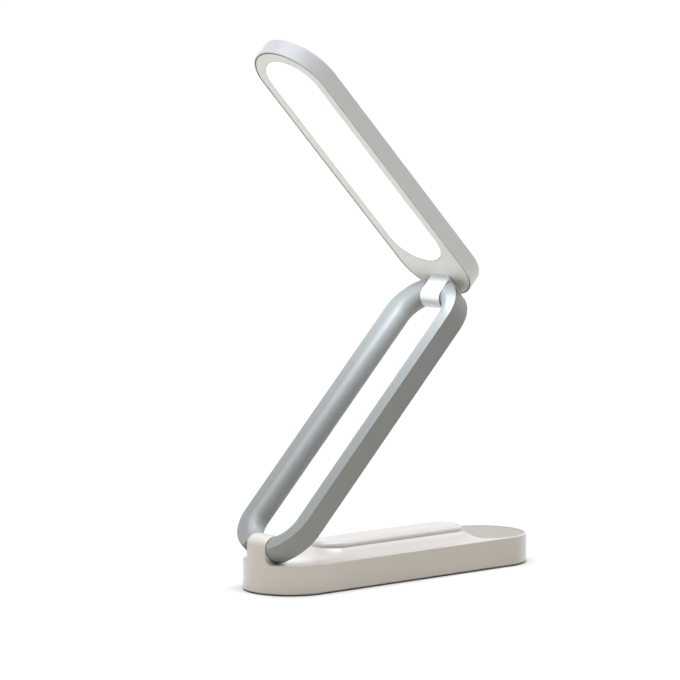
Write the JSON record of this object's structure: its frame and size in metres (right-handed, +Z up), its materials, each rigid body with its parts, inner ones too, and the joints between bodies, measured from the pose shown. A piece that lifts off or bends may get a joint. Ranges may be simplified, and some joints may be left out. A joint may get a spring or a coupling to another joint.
{
  "type": "folding desk lamp",
  "caption": "Rechargeable folding desk lamp: flat base with a raised middle and a touch panel, an open loop arm, and a slim light head; two hinges let all three fold flat on each other.",
  "frame": {"origin": "Centre of the base's outline, on the desk under its feet", "axes": "+Z up; +X along the base from the hinge end to the touch panel end; -Y is the front, the side that the picture shows. Stored unfolded: the arm at 45 degrees above the desk and the head square to the arm."},
  "size_m": [0.2, 0.0516, 0.3037],
  "materials": {
    "base_shell": "fine satin, warm white",
    "touch_panel": "satin, pale warm grey",
    "arm_shell": "satin, mid grey",
    "head_shell": "satin, pale grey",
    "head_bezel": "satin, pale grey",
    "diffuser": "opal, light-spreading",
    "reflector": "white",
    "light_board": "white coated metal-core board",
    "foot_rubber": "matt",
    "screw_steel": "plated",
    "pin_steel": "ground",
    "sleeve_brass": "plain",
    "ballast_steel": "mill finish",
    "circuit_board": "green solder mask",
    "contact_foam": "conductive foam",
    "battery": "blue shrink wrap over a steel can",
    "wire_jacket": "smooth jacket"
  },
  "bodies": {
    "base": {"base_housing": "base_shell", "base_cover": "base_shell", "foot_1": "foot_rubber", "foot_2": "foot_rubber", "foot_3": "foot_rubber", "foot_4": "foot_rubber", "cover_screw_1": "screw_steel", "cover_screw_2": "screw_steel", "cover_screw_3": "screw_steel", "cover_screw_4": "screw_steel", "touch_pad": "touch_panel", "touch_contact": "contact_foam", "control_board": "circuit_board", "board_screw_1": "screw_steel", "board_screw_2": "screw_steel", "board_screw_3": "screw_steel", "board_screw_4": "screw_steel", "usb_socket": "screw_steel", "battery_cell": "battery", "ballast_bar_front": "ballast_steel", "ballast_bar_back": "ballast_steel", "base_cable": "wire_jacket", "base_hinge_pin": "pin_steel"},
    "arm": {"arm_frame_front": "arm_shell", "arm_cover_front": "arm_shell", "arm_frame_back": "arm_shell", "arm_cover_back": "arm_shell", "arm_screw_1": "screw_steel", "arm_screw_2": "screw_steel", "arm_screw_3": "screw_steel", "arm_screw_4": "screw_steel", "base_hinge_sleeve_front": "sleeve_brass", "base_hinge_sleeve_back": "sleeve_brass", "head_hinge_sleeve_front": "sleeve_brass", "head_hinge_sleeve_back": "sleeve_brass", "arm_cable": "wire_jacket"},
    "head": {"head_shell": "head_shell", "head_bezel": "head_bezel", "diffuser": "diffuser", "reflector_tray": "reflector", "led_board": "light_board", "led_board_screw_1": "screw_steel", "led_board_screw_2": "screw_steel", "led_board_screw_3": "screw_steel", "led_board_screw_4": "screw_steel", "head_hinge_pin": "pin_steel", "head_cable": "wire_jacket"}
  },
  "joints": [
    {"name": "frame_hinge", "type": "hinge", "parent": "base", "child": "arm", "pos_m": [-0.0909, 0, 0.0264], "axis": [0, 1, 0], "range_deg": [-45, 45]},
    {"name": "head_hinge", "type": "hinge", "parent": "arm", "child": "head", "pos_m": [0.03765, 0, 0.15495], "axis": [0, 1, 0], "range_deg": [-90, 0]}
  ]
}
